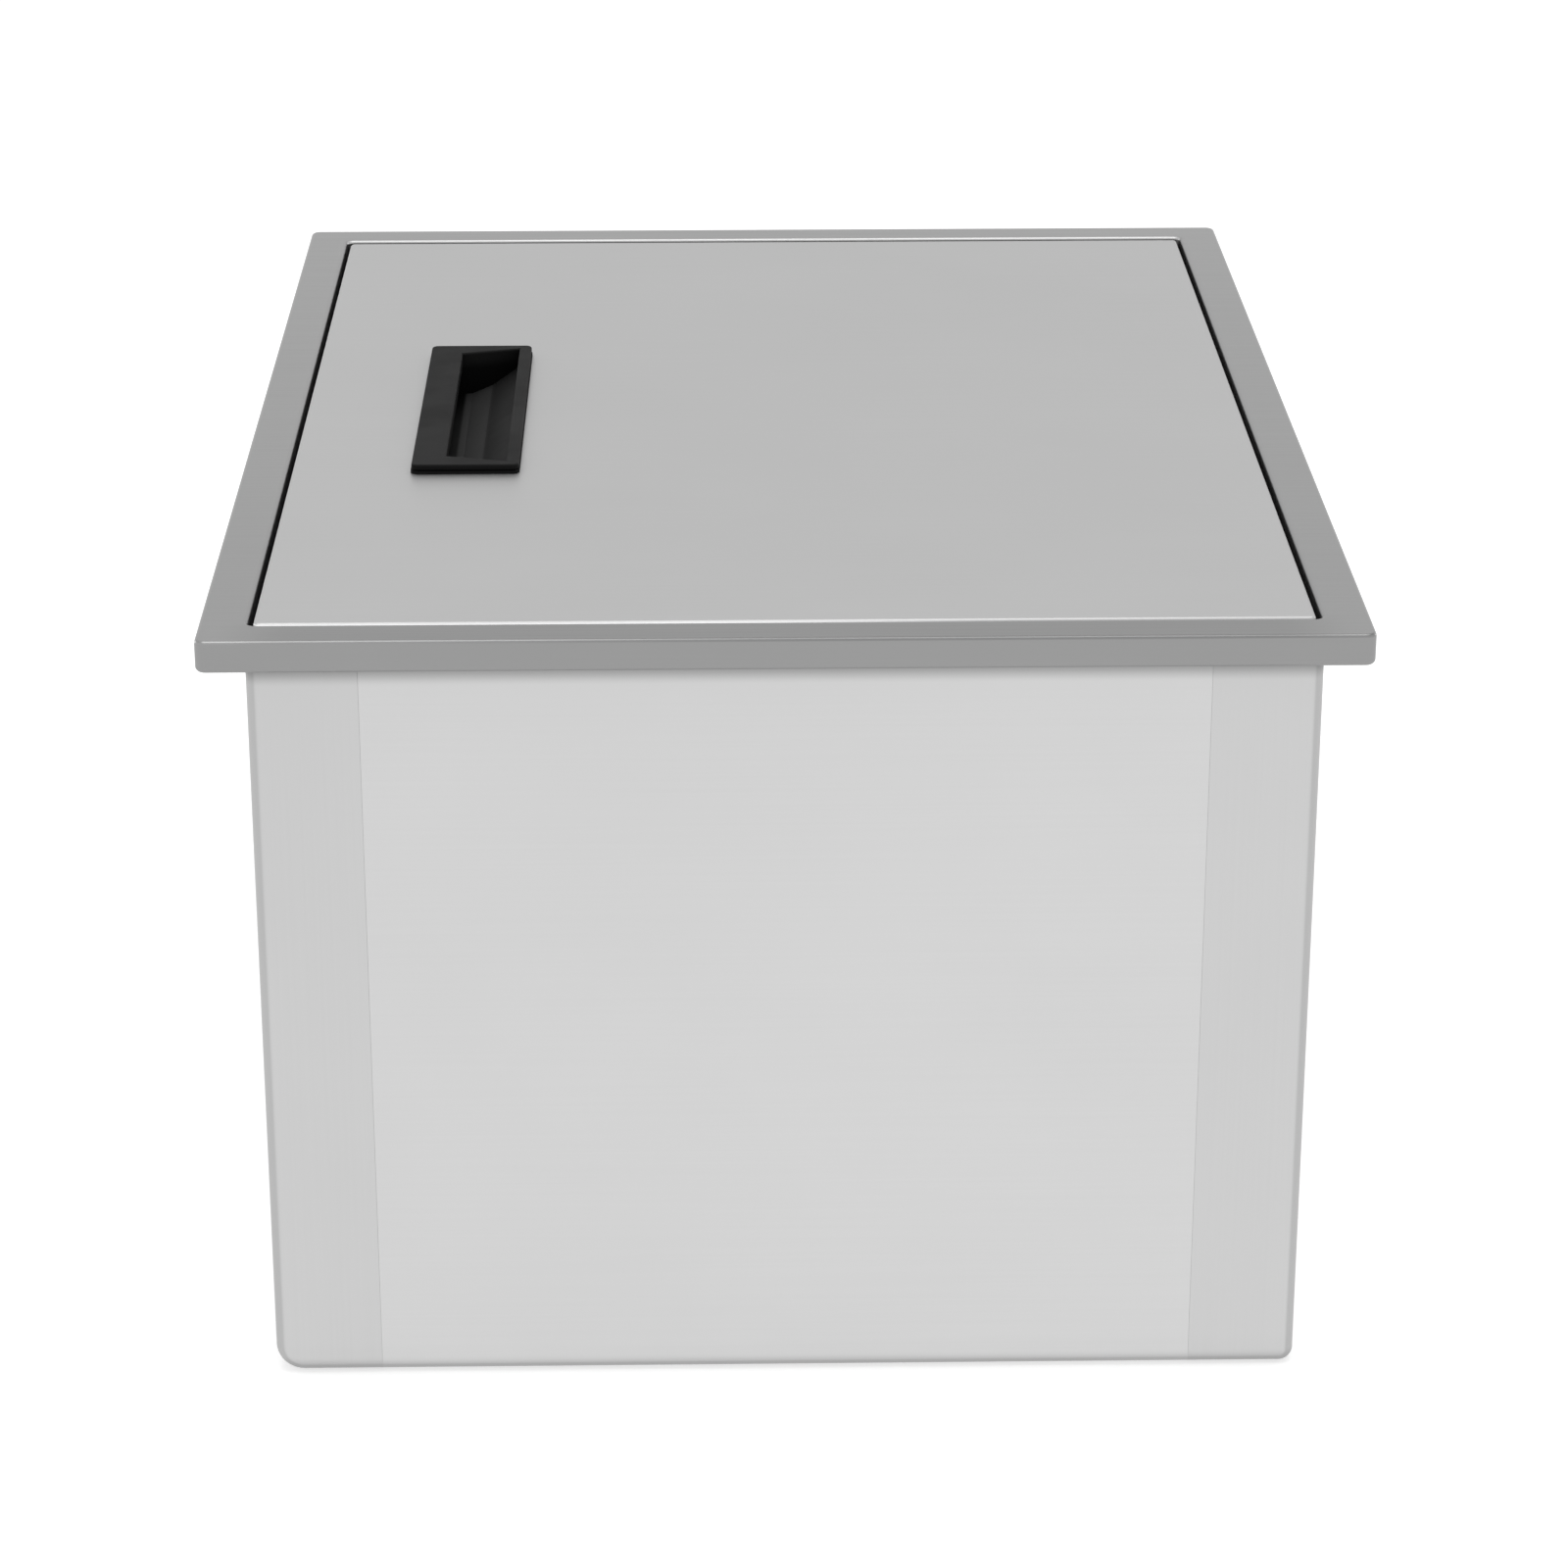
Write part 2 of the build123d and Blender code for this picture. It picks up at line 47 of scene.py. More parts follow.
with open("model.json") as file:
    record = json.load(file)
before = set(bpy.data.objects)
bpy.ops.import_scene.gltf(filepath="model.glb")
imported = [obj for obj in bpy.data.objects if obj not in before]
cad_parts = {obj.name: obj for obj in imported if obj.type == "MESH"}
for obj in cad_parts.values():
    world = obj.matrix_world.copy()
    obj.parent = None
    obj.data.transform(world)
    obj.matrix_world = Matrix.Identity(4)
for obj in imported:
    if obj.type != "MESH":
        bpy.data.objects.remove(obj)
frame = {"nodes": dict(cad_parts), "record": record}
cad_low, cad_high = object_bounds()
pull_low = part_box("recessed_pull")[0]

mm = 0.001

# The camera, as measured in the photograph
camera_place = Vector((-30.9, -1858.6, 885.8)) * mm
camera_pitch = 21.888
camera_yaw = -1.088
camera_lens = 105.51
camera_far = 50.0

# The floor's half width, and how far below the bin it lies
floor_half = 12.0
floor_drop = 0.2 * mm

# How bright the sky, the floor and the lamps are
sky_light = 0.66
backdrop_light = 1.0
floor_grey = 0.86
floor_grey_mirrored = 0.2
floor_lift_seen = 0.46
floor_lift_mirrored = 0.83
top_lamp_place = (0, -0.15, 2.3)
top_lamp_size = 1.6
top_lamp_power = 14.5
edge_lamp_place = (1.6, 0.9, 0.5)
edge_lamp_width = 0.5
edge_lamp_length = 0.8
edge_lamp_power = 3.0

# The steels: their greys in linear light, how rough they are, and how dark the painted shade in their
# corners and on their folds gets
rim_grey = 0.28
rim_roughness = 0.34
lid_grey = 0.454
lid_roughness = 0.5
front_grey = 0.698
tray_grey = 0.652
shell_roughness = 0.42
shell_crevice = 0.3
shell_fold = 0.2
well_grey = 0.5
well_roughness = 0.34
fitting_grey = 0.42
fitting_roughness = 0.28
steel_crevice = 0.5
steel_roughness_spread = 0.03

# The steels' brushed grain and faint clouds
grain_across = 900.0
grain_along = 9.0
grain_detail = 3.0
grain_noise = 0.6
grain_low = 0.25
grain_high = 0.75
grain_contrast = 0.012
grain_strength = 0.1
grain_depth = 0.02 * mm
cloud_scale = 9.0
cloud_detail = 3.0
cloud_noise = 0.55
cloud_contrast = 0.008

# Where the middle part of every noise starts and ends
noise_low = 0.3
noise_high = 0.7

# How near a corner the painted shade darkens a surface, how near the floor it darkens less, and which
# folds it darkens
crevice_reach = 14.0 * mm
crevice_low = 24.0 * mm
crevice_samples = 6
fold_start = 0.9
fold_end = 0.997
fold_upward = 0.3

# The mouldings: their colours in linear light, how rough they are, how much painted shade their
# corners get, and their textures
plastic_colour = (0.0105, 0.0105, 0.0105)
plastic_roughness = 0.6
plastic_shine = 0.06
plastic_texture_scale = 2600.0
plastic_texture_depth = 0.03 * mm
rubber_colour = (0.022, 0.022, 0.022)
rubber_roughness = 0.7
seal_colour = (0.05, 0.05, 0.05)
seal_roughness = 0.65
rubber_texture_scale = 1800.0
rubber_texture_depth = 0.04 * mm
nylon_colour = (0.66, 0.64, 0.58)
nylon_roughness = 0.4
nylon_texture_scale = 1500.0
nylon_texture_depth = 0.02 * mm
foam_colour = (0.72, 0.6, 0.32)
foam_roughness = 0.85
foam_texture_scale = 300.0
foam_texture_depth = 0.4 * mm
moulding_shine = 0.5
moulding_crevice = 0.6
moulding_roughness_spread = 0.05
texture_detail = 2.0
texture_noise = 0.6
texture_contrast = 0.1
texture_strength = 0.25
blotch_scale = 30.0
blotch_detail = 3.0
blotch_noise = 0.6
blotch_contrast = 0.08

# Painted shade on the shell in the shelter of the rim's apron, and along its lowest fold
shelter_start = 11.5 * mm
shelter_end = 4.0 * mm
shelter_painted_shade = 0.52
foot_start = 3.0 * mm
foot_end = 7.0 * mm
foot_painted_shade = 0.82

# The rim: its darker front band, painted light on its apron, a painted highlight on its rear fold, and
# painted shade at its front fold's right end
rim_tone_depth = 0.18
rim_tone_inner_inset = 36.0 * mm
rim_tone_outer_inset = 5.0 * mm
rim_tone_start = 15.0 * mm
rim_tone_end = 24.0 * mm
rim_apron_painted_light = 0.23
rim_apron_upward = 0.5
rim_band_upward = 0.9
rim_fold_painted_highlight = 0.6
rim_fold_start = -0.1
rim_fold_end = -0.4
rim_ridge_painted_shade = 0.26
rim_ridge_start = -170.0 * mm
rim_ridge_end = 20.0 * mm

# The painted highlight on the lid's folded edges, brightest towards the pull's side
lid_edge_painted_highlight = 1.25
lid_edge_upward = 0.4
lid_flat_upward = 0.97
lid_highlight_fade_start = -30.0 * mm
lid_highlight_fade_end = 90.0 * mm

# The pull's pocket: how high its crease and floor lie over the pull's underside, and the painted light
# on its floor and painted shade on its walls and under its lip
pocket_crease_start = 4.1 * mm
pocket_crease_end = 5.6 * mm
pocket_floor_end = 12.6 * mm
pocket_fade = 4.0 * mm
pocket_near_painted_light = 3.2
pocket_far_painted_light = 1.6
pocket_wall_painted_shade = 0.35
pocket_lip_inset = 14.3 * mm
pocket_lip_fade = 1.6 * mm
pocket_lip_painted_shadow = 0.03

# The lid's seal: a strip with a bulb and two ribs below it, and its corner radius
seal_corner_radius = 16.0 * mm
seal_width = 12.0 * mm
seal_strip_share = 0.4
seal_bulb_share = 0.34
seal_bulb_round_share = 0.7
seal_rib_share = 0.11
seal_rib_root_scale = 1.4
seal_rib_reach_share = 0.72
seal_edge_radius = 0.4 * mm
seal_corner_steps = 12

# The rubber plug: its boss, rings, shank and hollow underside
plug_flange_height = 3.5 * mm
plug_edge_radius = 0.9 * mm
plug_hole_radius = 2.55 * mm
plug_hole_depth = 6.0 * mm
plug_boss_radius = 7.5 * mm
plug_boss_drop = 0.9 * mm
plug_ring_radius = 15.0 * mm
plug_ring_half = 1.4 * mm
plug_ring_drop = 0.3 * mm
plug_shank_radius = 15.7 * mm
plug_rib_radius = 16.6 * mm
plug_rib_half = 0.8 * mm
plug_hollow_radius = 11.0 * mm
plug_hollow_depth = 2.4 * mm
plug_small_radius = 0.35 * mm

# How finely the soft pieces are meshed
turn_steps = 96
arc_steps = 5
weld_distance = 0.001 * mm
straight_angle = math.radians(89)
crease_angle = math.radians(40)


class Graph:
    """A material and short ways to add nodes to it."""

    def __init__(self, name):
        self.material = bpy.data.materials.new(name)
        self.material.use_nodes = True
        self.tree = self.material.node_tree
        self.shader = self.tree.nodes["Principled BSDF"]

    def add(self, kind, inputs=None, **settings):
        """A new node with its settings, and with its inputs linked or set to plain values."""
        node = self.tree.nodes.new(kind)
        for key, value in settings.items():
            setattr(node, key, value)
        for key, value in (inputs or {}).items():
            self.put(node.inputs[key], value)
        return node

    def put(self, socket, value):
        """Links a node's output to the socket, or sets the socket to a plain value."""
        if isinstance(value, bpy.types.NodeSocket):
            self.tree.links.new(value, socket)
        else:
            socket.default_value = value

    def maths(self, operation, *values):
        """The result of one sum with up to three values."""
        node = self.add("ShaderNodeMath", operation=operation)
        for socket, value in zip(node.inputs, values):
            self.put(socket, value)
        return node.outputs[0]

    def total(self, first, *others):
        """The first value with each of the others added."""
        for other in others:
            first = self.maths("ADD", first, other)
        return first

    def product(self, first, *others):
        """The first value multiplied by each of the others."""
        for other in others:
            first = self.maths("MULTIPLY", first, other)
        return first

    def difference(self, one, other):
        """One value less another."""
        return self.maths("SUBTRACT", one, other)

    def spread(self, value, low, high, new_low, new_high):
        """A smooth change from new_low to new_high while the value goes from low to high."""
        node = self.add("ShaderNodeMapRange", interpolation_type="SMOOTHSTEP")
        for socket, given in zip(node.inputs, (value, low, high, new_low, new_high)):
            self.put(socket, given)
        return node.outputs[0]

    def noise(self, place, scale, detail, roughness):
        """A noise between 0 and 1, finer where the scale is larger."""
        node = self.add(
            "ShaderNodeTexNoise",
            {"Vector": place, "Scale": scale, "Detail": detail, "Roughness": roughness},
        )
        return node.outputs["Fac"]

    def parts(self, vector):
        """The three parts of a vector."""
        return self.add("ShaderNodeSeparateXYZ", {0: vector}).outputs

    def place(self):
        """Where on its piece a point lies."""
        return self.add("ShaderNodeTexCoord").outputs["Object"]

    def normal(self):
        """Which way the surface of a piece faces there."""
        return self.add("ShaderNodeTexCoord").outputs["Normal"]

    def upward(self):
        """How far the surface faces up, from 0 to 1."""
        return self.spread(self.parts(self.normal())[2], 0.0, 1.0, 0.0, 1.0)

    def grey(self, value):
        """A grey with this value in all three channels."""
        node = self.add("ShaderNodeCombineColor", {"Red": value, "Green": value, "Blue": value})
        return node.outputs[0]

    def bump(self, height, strength, distance):
        """Gives the surface a fine relief."""
        node = self.add(
            "ShaderNodeBump", {"Height": height, "Strength": strength, "Distance": distance}
        )
        self.put(self.shader.inputs["Normal"], node.outputs[0])


def either_side(middle, reach):
    """The two values that lie the reach below and above the middle."""
    return middle - reach, middle + reach


def painted_corner_and_fold_shade(g, place, crevice, fold):
    """Painted shade that darkens a surface in its corners, less so beside the floor, and on its folds.
    """
    corner = g.add("ShaderNodeAmbientOcclusion", {"Distance": crevice_reach}, samples=crevice_samples)
    strength = g.spread(g.parts(place)[2], 0.0, crevice_low, 0.0, crevice)
    closed_share = g.difference(1.0, corner.outputs["AO"])
    shade = g.difference(1.0, g.product(closed_share, strength))
    turned = g.add("ShaderNodeVectorMath", {0: g.normal()}, operation="ABSOLUTE").outputs[0]
    x, y, z = g.parts(turned)
    flat = g.maths("MAXIMUM", g.maths("MAXIMUM", x, y), z)
    return g.product(shade, g.spread(flat, fold_start, fold_end, 1.0 - fold, 1.0))


def grain_lines(g, place, grain):
    """Fine lines along X, Y or Z, or round the Z axis for a turned piece."""
    if grain == "turned":
        x, y, z = g.parts(place)
        radius = g.maths("SQRT", g.total(g.product(x, x), g.product(y, y)))
        rings = g.add("ShaderNodeCombineXYZ", {0: radius, 1: z}).outputs[0]
        return g.noise(rings, grain_across, grain_detail, grain_noise)
    scale = [grain_across] * 3
    scale["XYZ".index(grain)] = grain_along
    stretched = g.add("ShaderNodeMapping", {"Vector": place, "Scale": scale}).outputs[0]
    return g.noise(stretched, 1.0, grain_detail, grain_noise)


def steel(name, grey, roughness, grain="X", crevice=steel_crevice, fold=0.0, tone=None):
    """Brushed stainless sheet: a fine grain, faint clouds, and painted shade in its corners and on its
    folds.
    """
    g = Graph(name)
    place = g.place()
    lines = grain_lines(g, place, grain)
    clouds = g.noise(place, cloud_scale, cloud_detail, cloud_noise)
    brushed = g.spread(lines, grain_low, grain_high, *either_side(1.0, grain_contrast))
    cloudy = g.spread(clouds, noise_low, noise_high, *either_side(1.0, cloud_contrast))
    # Painted shade in the corners and on the folds
    level = g.product(brushed, cloudy, painted_corner_and_fold_shade(g, place, crevice, fold))
    # A tone brings painted light and shade into the level
    if tone is not None:
        level = g.product(level, tone(g, place))
    g.put(g.shader.inputs["Base Color"], g.grey(g.product(level, grey)))
    rough = g.spread(lines, noise_low, noise_high, *either_side(roughness, steel_roughness_spread))
    g.put(g.shader.inputs["Roughness"], rough)
    g.shader.inputs["Metallic"].default_value = 1.0
    g.bump(lines, grain_strength, grain_depth)
    return g.material


def moulding(
    name, colour, roughness, texture_scale, texture_depth, shine=moulding_shine, tone=None
):
    """Moulded plastic, rubber or foam with a fine texture, faint blotches and painted shade in its
    corners.
    """
    g = Graph(name)
    g.shader.inputs["Specular IOR Level"].default_value = shine
    place = g.place()
    fine = g.noise(place, texture_scale, texture_detail, texture_noise)
    blotches = g.noise(place, blotch_scale, blotch_detail, blotch_noise)
    textured = g.spread(fine, noise_low, noise_high, *either_side(1.0, texture_contrast))
    blotchy = g.spread(blotches, noise_low, noise_high, *either_side(0.0, blotch_contrast))
    # Painted shade in the corners
    level = g.product(g.total(textured, blotchy), painted_corner_and_fold_shade(g, place, moulding_crevice, 0.0))
    if tone is not None:
        level = g.product(level, tone(g, place))
    shade = g.add("ShaderNodeVectorMath", {0: colour}, operation="SCALE")
    g.put(shade.inputs["Scale"], level)
    g.put(g.shader.inputs["Base Color"], shade.outputs[0])
    rough = g.spread(
        blotches, noise_low, noise_high, *either_side(roughness, moulding_roughness_spread)
    )
    g.put(g.shader.inputs["Roughness"], rough)
    g.bump(fine, texture_strength, texture_depth)
    return g.material


def rim_band_and_painted_light(g, place):
    """The front band is darker than the other three. Painted light makes the apron lighter, and a
    painted highlight the rear fold.
    Painted shade darkens the front fold towards its right end."""
    x, y, z = g.parts(place)
    flat = g.upward()
    inner = cad_high.x - rim_tone_inner_inset
    outer = cad_high.x - rim_tone_outer_inset
    middle = g.spread(g.maths("ABSOLUTE", x), inner, outer, rim_tone_depth, 0.0)
    front = g.spread(y, cad_low.y + rim_tone_start, cad_low.y + rim_tone_end, 1.0, 0.0)
    band = g.product(middle, front, flat)
    # Painted light on the apron
    apron = g.spread(flat, rim_apron_upward, rim_band_upward, rim_apron_painted_light, 0.0)
    forward = g.spread(g.parts(g.normal())[1], rim_fold_start, rim_fold_end, 0.0, 1.0)
    fold = g.product(forward, g.spread(flat, 0.0, fold_upward, 0.0, 1.0))
    # Painted highlight on the rear fold
    rear_fold = g.product(fold, g.spread(y, 0.0, cad_high.y, 0.0, rim_fold_painted_highlight))
    front_fold = g.product(fold, g.spread(y, cad_low.y, 0.0, 1.0, 0.0))
    # Painted shade towards the front fold's right end
    rightward = g.spread(x, rim_ridge_start, rim_ridge_end, 0.0, rim_ridge_painted_shade)
    ridge = g.product(front_fold, rightward)
    return g.difference(g.total(1.0, apron, rear_fold), g.total(band, ridge))


def lid_painted_edge_highlight(g, place):
    """Painted highlight on the lid's folded edges, brightest towards the pull's side."""
    flat = g.upward()
    # Painted highlight on the folded edges, fading away from the pull's side
    edge = g.spread(flat, lid_edge_upward, lid_flat_upward, lid_edge_painted_highlight, 0.0)
    fold = g.product(g.spread(flat, 0.0, fold_upward, 0.0, 1.0), edge)
    side = g.spread(g.parts(place)[0], lid_highlight_fade_start, lid_highlight_fade_end, 1.0, 0.0)
    return g.total(1.0, g.product(fold, side))


def shell_painted_shade(g, place):
    """Painted shade: the shell is darker in the shelter of the rim's apron, and along its lowest fold.
    """
    mounts = {mount["name"]: mount["pos_m"] for mount in frame["record"]["mounts"]}
    apron_base = mounts["counter_rest"][2]
    z = g.parts(place)[2]
    # Painted shade under the rim's apron
    sheltered = g.spread(z, apron_base - shelter_start, apron_base - shelter_end, 1.0, shelter_painted_shade)
    # Painted shade along the lowest fold
    return g.product(sheltered, g.spread(z, foot_start, foot_end, foot_painted_shade, 1.0))


def pull_painted_light_and_shade(g, place):
    """Painted light makes the pocket's floor lighter, most where it is deepest.
    Painted shade keeps its walls dark, and a painted shadow the room under its lip."""
    x, y, z = g.parts(place)
    crease_low = pull_low.z + pocket_crease_start
    crease_high = pull_low.z + pocket_crease_end
    floor_high = pull_low.z + pocket_floor_end
    lip = pull_low.x + pocket_lip_inset
    # Painted light on the pocket's floor
    floor_painted_light = g.spread(z, crease_low, crease_high, pocket_near_painted_light, pocket_far_painted_light)
    below = g.spread(z, floor_high, floor_high + pocket_fade, 1.0, 0.0)
    # Painted shadow under the lip
    open_part = g.spread(x, lip, lip + pocket_lip_fade, pocket_lip_painted_shadow, 1.0)
    painted_floor_change = g.difference(g.product(floor_painted_light, open_part), 1.0)
    # Painted shade on the walls
    walls = g.difference(1.0, g.product(below, 1.0 - pocket_wall_painted_shade))
    flat = g.upward()
    floor_part = g.product(flat, g.total(1.0, g.product(below, painted_floor_change)))
    wall_part = g.product(g.difference(1.0, flat), walls)
    return g.total(floor_part, wall_part)


def dress(material, *nodes):
    """Gives CAD nodes a material."""
    for name in nodes:
        mesh = frame["nodes"][name].data
        mesh.materials.clear()
        mesh.materials.append(material)


def dress_rim():
    # The rim gets painted light and shade
    dress(steel("rim_brushed", rim_grey, rim_roughness, tone=rim_band_and_painted_light), "rim_frame")


def dress_lid():
    # The lid's edges get a painted highlight
    brushed = steel("lid_brushed", lid_grey, lid_roughness, crevice=0.0, tone=lid_painted_edge_highlight)
    dress(brushed, "lid_top_panel")


def shell_steel(name, grey, grain):
    """The sheet of the outer shell, whose trays are darker than its front."""
    # Painted shade in its corners, on its folds, under the apron and along its foot
    return steel(name, grey, shell_roughness, grain, shell_crevice, shell_fold, shell_painted_shade)


def dress_shell():
    dress(shell_steel("front_sheet", front_grey, "X"), "front_panel", "rear_panel", "bottom_panel")
    dress(shell_steel("tray_sheet", tray_grey, "Z"), "left_side_panel", "right_side_panel")


def dress_well():
    dress(steel("well_sheet", well_grey, well_roughness), "ice_well", "lid_bottom_panel")


def dress_fittings():
    turned = steel("turned_steel", fitting_grey, fitting_roughness, grain="turned")
    dress(turned, "drain_socket", "drain_strainer", "plug_knob")
    dress(turned, "hinge_pin_front", "hinge_pin_rear", "hook_rivets")


def dress_pull():
    plastic = moulding(
        "black_plastic",
        plastic_colour,
        plastic_roughness,
        plastic_texture_scale,
        plastic_texture_depth,
        plastic_shine,
        # The pull's pocket gets painted light and shade
        pull_painted_light_and_shade,
    )
    dress(plastic, "recessed_pull")


def soft_rubber(name, colour, roughness):
    """Both rubbers share one texture."""
    return moulding(name, colour, roughness, rubber_texture_scale, rubber_texture_depth)


def dress_hooks():
    nylon = moulding(
        "white_nylon", nylon_colour, nylon_roughness, nylon_texture_scale, nylon_texture_depth
    )
    dress(nylon, "hinge_hook_front", "hinge_hook_rear")


def dress_foam():
    foam = moulding(
        "cured_foam", foam_colour, foam_roughness, foam_texture_scale, foam_texture_depth
    )
    dress(foam, "foam_insulation", "lid_foam")


def rounded(corners):
    """A closed outline of (x, y, radius) corners, with each corner turned into a short arc."""
    outline = []
    for index, (x, y, radius) in enumerate(corners):
        here = Vector((x, y))
        back = (Vector(corners[index - 1][:2]) - here).normalized()
        onward = (Vector(corners[(index + 1) % len(corners)][:2]) - here).normalized()
        half = back.angle(onward) / 2
        if radius == 0 or half > straight_angle:
            outline.append(here)
            continue
        centre = here + (back + onward).normalized() * radius / math.sin(half)
        spoke = here + back * radius / math.tan(half) - centre
        turn = math.pi - 2 * half
        if back.x * onward.y > back.y * onward.x:
            turn = -turn
        for step in range(arc_steps + 1):
            outline.append(centre + Matrix.Rotation(turn * step / arc_steps, 2) @ spoke)
    return outline


def skin(rows, name, material):
    """A closed mesh from rows of points, each row joined to the next one and the last to the first."""
    shape = bmesh.new()
    grid = [[shape.verts.new(point) for point in row] for row in rows]
    count = len(grid[0])
    for one, other in zip(grid, grid[1:] + grid[:1]):
        for index in range(count):
            following = (index + 1) % count
            shape.faces.new((one[index], one[following], other[following], other[index]))
    bmesh.ops.remove_doubles(shape, verts=shape.verts, dist=weld_distance)
    bmesh.ops.recalc_face_normals(shape, faces=shape.faces)
    for face in shape.faces:
        face.smooth = True
    for edge in shape.edges:
        edge.smooth = len(edge.link_faces) == 2 and edge.calc_face_angle() < crease_angle
    mesh = bpy.data.meshes.new(name)
    shape.to_mesh(mesh)
    shape.free()
    mesh.materials.append(material)
    piece = bpy.data.objects.new(name, mesh)
    bpy.context.scene.collection.objects.link(piece)
    return piece


def seal_outline(low, high):
    """The seal's section between two heights: a strip, a bulb at its middle and a rib at each edge."""
    tall = high - low
    strip = high - tall * seal_strip_share
    rib = high - tall * seal_rib_reach_share
    rib_width = seal_width * seal_rib_share
    rib_root = rib_width * seal_rib_root_scale
    bulb_half = seal_width * seal_bulb_share / 2
    bulb_edge = seal_width / 2 - bulb_half
    small = seal_edge_radius
    outer_half = [
        (0, high, small / 2),
        (0, rib, small),
        (rib_width, rib, small),
        (rib_root, strip, small),
        (bulb_edge, strip, small),
        (bulb_edge, low, bulb_half * seal_bulb_round_share),
    ]
    inner_half = [(seal_width - u, z, radius) for u, z, radius in reversed(outer_half)]
    return rounded(outer_half + inner_half)


def make_lid_seal():
    """A strip seal with a bulb and two ribs, run round a rectangle with round corners."""
    low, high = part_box("lid_gasket")
    outline = seal_outline(low.z, high.z)
    centre = (low + high) / 2
    half = (high - low) / 2
    arm_x = half.x - seal_corner_radius
    arm_y = half.y - seal_corner_radius
    rows = []
    for side_x, side_y, first in ((1, 1, 0), (-1, 1, 90), (-1, -1, 180), (1, -1, 270)):
        corner = Vector((centre.x + side_x * arm_x, centre.y + side_y * arm_y, 0))
        for step in range(seal_corner_steps + 1):
            angle = math.radians(first + 90 * step / seal_corner_steps)
            out = Vector((math.cos(angle), math.sin(angle), 0))
            row = [corner + out * (seal_corner_radius - u) + Vector((0, 0, z)) for u, z in outline]
            rows.append(row)
    piece = skin(rows, "lid_seal", soft_rubber("grey_seal", seal_colour, seal_roughness))
    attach(piece, "lid")
    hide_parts("lid_gasket")


def stopper_outline(low, high, reach):
    """Half of the stopper's section between two heights, from its stud hole out and back."""
    top = high - plug_boss_drop
    under = high - plug_flange_height
    ring_top = high - plug_ring_drop
    rib_z = (under + low) / 2
    hollow = low + plug_hollow_depth
    small = plug_small_radius
    corners = [
        (plug_hole_radius, high - plug_hole_depth, 0),
        (plug_hole_radius, high, small),
        (plug_boss_radius, high, small),
        (plug_boss_radius + plug_boss_drop, top, small),
        (plug_ring_radius - plug_ring_half, top, small),
        (plug_ring_radius - plug_ring_half / 2, ring_top, small),
        (plug_ring_radius + plug_ring_half / 2, ring_top, small),
        (plug_ring_radius + plug_ring_half, top, small),
        (reach, top, plug_edge_radius),
        (reach, under, small),
        (plug_shank_radius, under, small),
        (plug_shank_radius, rib_z + plug_rib_half, small / 2),
        (plug_rib_radius, rib_z, small),
        (plug_shank_radius, rib_z - plug_rib_half, small / 2),
        (plug_shank_radius, low, small * 2),
        (plug_hollow_radius, low, small),
        (plug_hollow_radius - small, hollow, small),
        (0, hollow, 0),
        (0, high - plug_hole_depth, 0),
    ]
    return rounded(corners)


def make_drain_stopper(rubber):
    """The rubber stopper: a flange with a boss and a ring, a ribbed shank and a hollow underside."""
    low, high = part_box("drain_plug")
    outline = stopper_outline(low.z, high.z, high.x)
    rows = []
    for step in range(turn_steps):
        angle = 2 * math.pi * step / turn_steps
        rows.append([Vector((r * math.cos(angle), r * math.sin(angle), z)) for r, z in outline])
    piece = skin(rows, "drain_stopper", rubber)
    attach(piece, "plug")
    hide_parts("drain_plug")


def make_drain_rubber():
    """The socket's washer and the stopper, which are of one rubber."""
    rubber = soft_rubber("black_rubber", rubber_colour, rubber_roughness)
    dress(rubber, "drain_plug", "socket_washer")
    make_drain_stopper(rubber)


def make_camera():
    data = bpy.data.cameras.new("camera")
    data.lens = camera_lens
    data.clip_end = camera_far
    camera = bpy.data.objects.new("camera", data)
    bpy.context.scene.collection.objects.link(camera)
    camera.location = camera_place
    camera.rotation_euler = (math.radians(90 - camera_pitch), 0, math.radians(camera_yaw))
    bpy.context.scene.camera = camera


def by_ray(tree, seen, mirrored, other):
    """One of three values: for the camera's rays, for mirrored ones, and for all others."""
    path = tree.nodes.new("ShaderNodeLightPath")
    value = other
    for kind, given in (("Transmission", mirrored), ("Glossy", mirrored), ("Camera", seen)):
        mix = tree.nodes.new("ShaderNodeMix")
        tree.links.new(path.outputs[f"Is {kind} Ray"], mix.inputs["Factor"])
        if isinstance(value, bpy.types.NodeSocket):
            tree.links.new(value, mix.inputs["A"])
        else:
            mix.inputs["A"].default_value = value
        mix.inputs["B"].default_value = given
        value = mix.outputs["Result"]
    return value


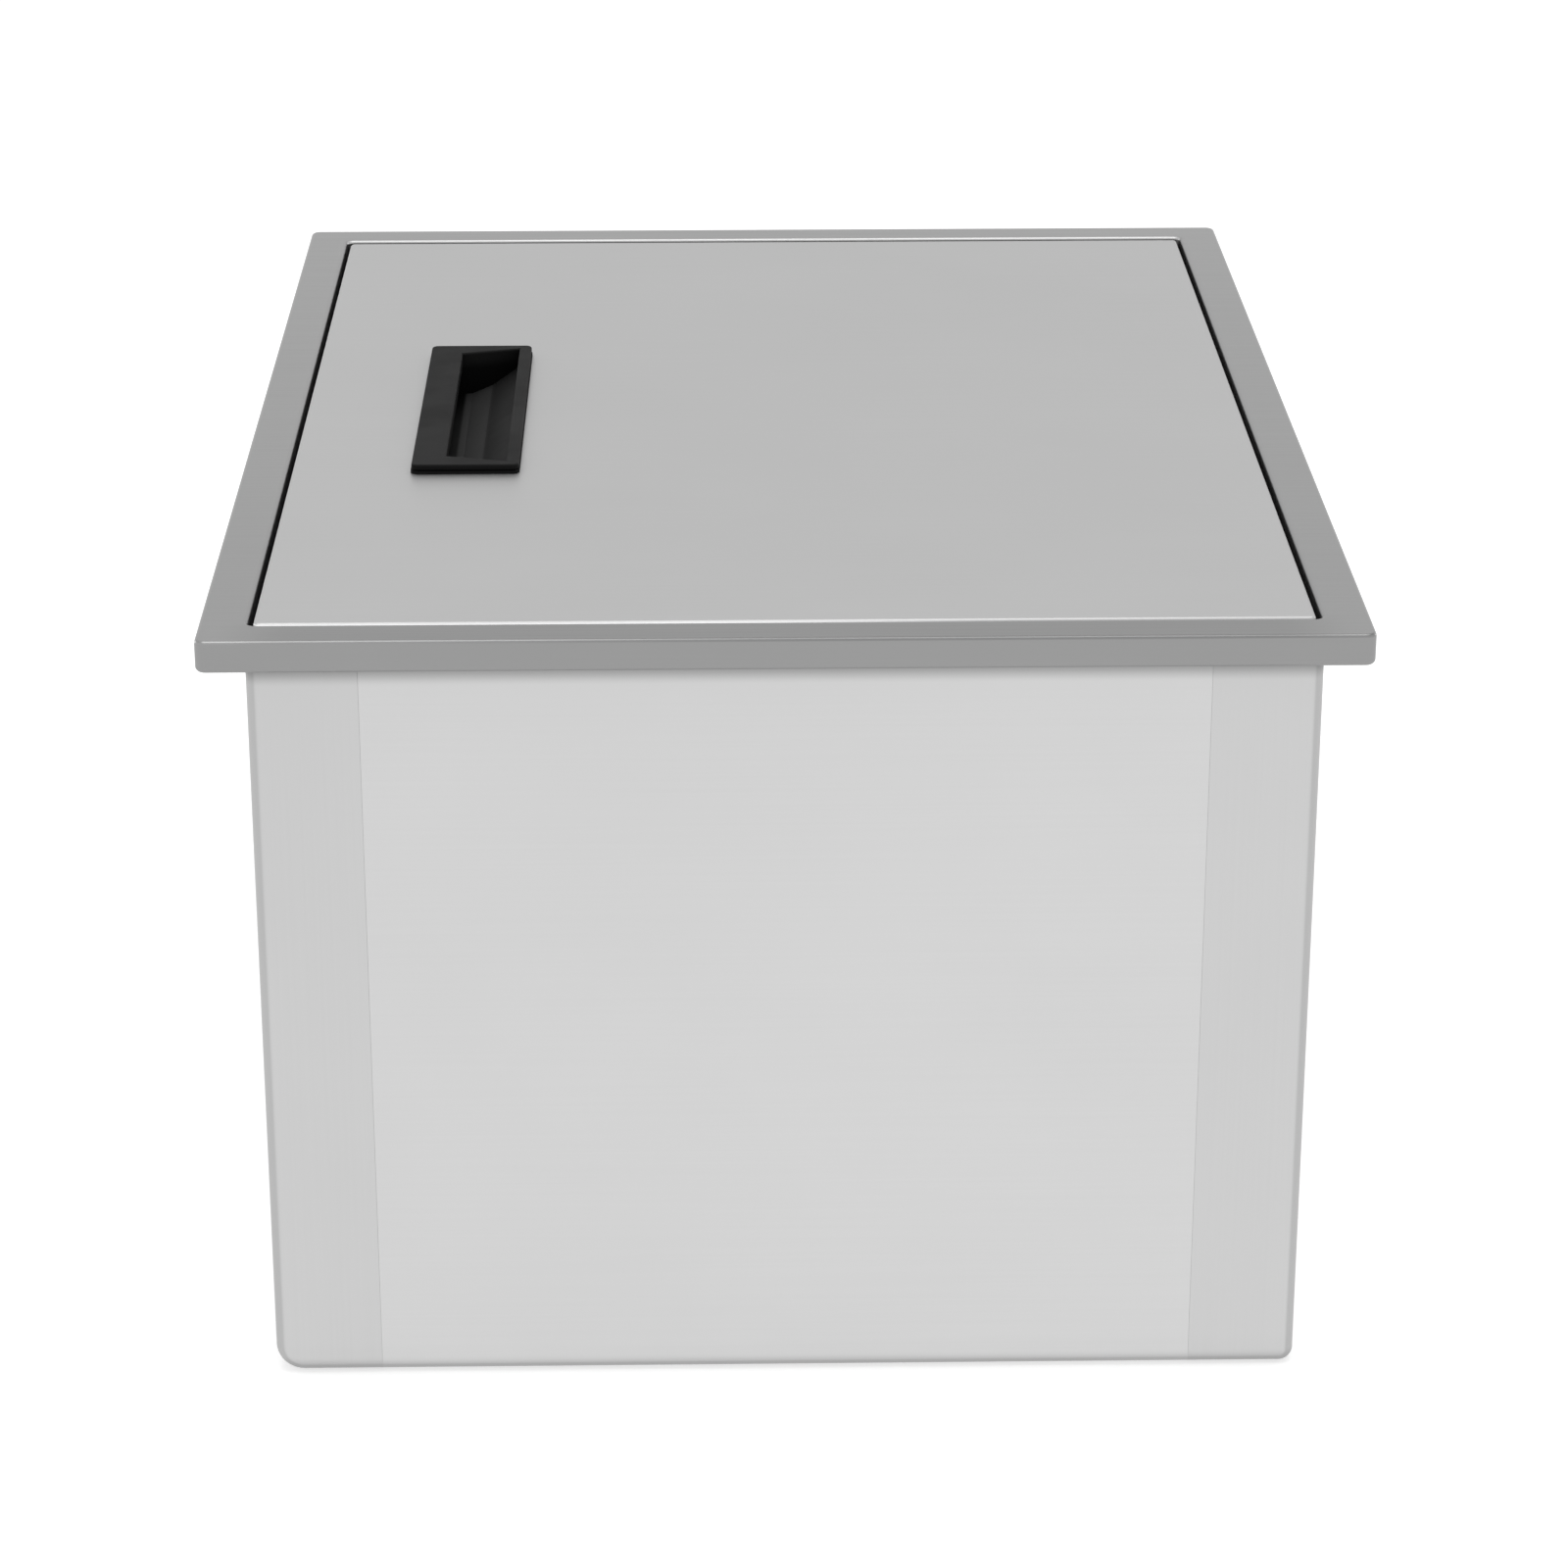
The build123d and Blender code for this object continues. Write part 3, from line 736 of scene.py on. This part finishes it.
def make_world():
    """A plain sky that the camera sees as white."""
    world = bpy.data.worlds.new("sky")
    bpy.context.scene.world = world
    world.use_nodes = True
    tree = world.node_tree
    background = tree.nodes["Background"]
    tree.links.new(by_ray(tree, 1.0, backdrop_light, sky_light), background.inputs["Strength"])
    background.inputs["Color"].default_value = (1, 1, 1, 1)


def make_floor():
    """A pale floor just below the bin, lifted to white for the camera where no shadow falls."""
    mesh = bpy.data.meshes.new("floor")
    shape = bmesh.new()
    bmesh.ops.create_grid(shape, x_segments=1, y_segments=1, size=floor_half)
    shape.to_mesh(mesh)
    shape.free()
    floor = bpy.data.objects.new("floor", mesh)
    bpy.context.scene.collection.objects.link(floor)
    floor.location.z = -floor_drop
    g = Graph("floor_white")
    pale = by_ray(g.tree, floor_grey, floor_grey_mirrored, floor_grey)
    g.put(g.shader.inputs["Base Color"], g.grey(pale))
    g.shader.inputs["Roughness"].default_value = 1.0
    g.shader.inputs["Specular IOR Level"].default_value = 0.0
    g.shader.inputs["Emission Color"].default_value = (1, 1, 1, 1)
    lift = by_ray(g.tree, floor_lift_seen, floor_lift_mirrored, 0.0)
    g.put(g.shader.inputs["Emission Strength"], lift)
    mesh.materials.append(g.material)


def make_lamp(name, place, width, length, power):
    """A soft lamp that faces the middle of the bin."""
    data = bpy.data.lights.new(name, "AREA")
    data.shape = "RECTANGLE"
    data.size = width
    data.size_y = length
    data.energy = power
    lamp = bpy.data.objects.new(name, data)
    bpy.context.scene.collection.objects.link(lamp)
    lamp.location = place
    aim = Vector((0, 0, (cad_low.z + cad_high.z) / 2)) - Vector(place)
    lamp.rotation_euler = aim.to_track_quat("-Z", "Y").to_euler()
    lamp.visible_camera = False


def make_lamps():
    make_lamp("top_lamp", top_lamp_place, top_lamp_size, top_lamp_size, top_lamp_power)
    x, y, z = edge_lamp_place
    for name, side in (("left_lamp", -1), ("right_lamp", 1)):
        make_lamp(name, (side * x, y, z), edge_lamp_width, edge_lamp_length, edge_lamp_power)


bpy.context.scene.view_settings.view_transform = "Standard"
dress_rim()
dress_lid()
dress_shell()
dress_well()
dress_fittings()
dress_pull()
make_drain_rubber()
make_lid_seal()
dress_hooks()
dress_foam()
make_camera()
make_world()
make_floor()
make_lamps()
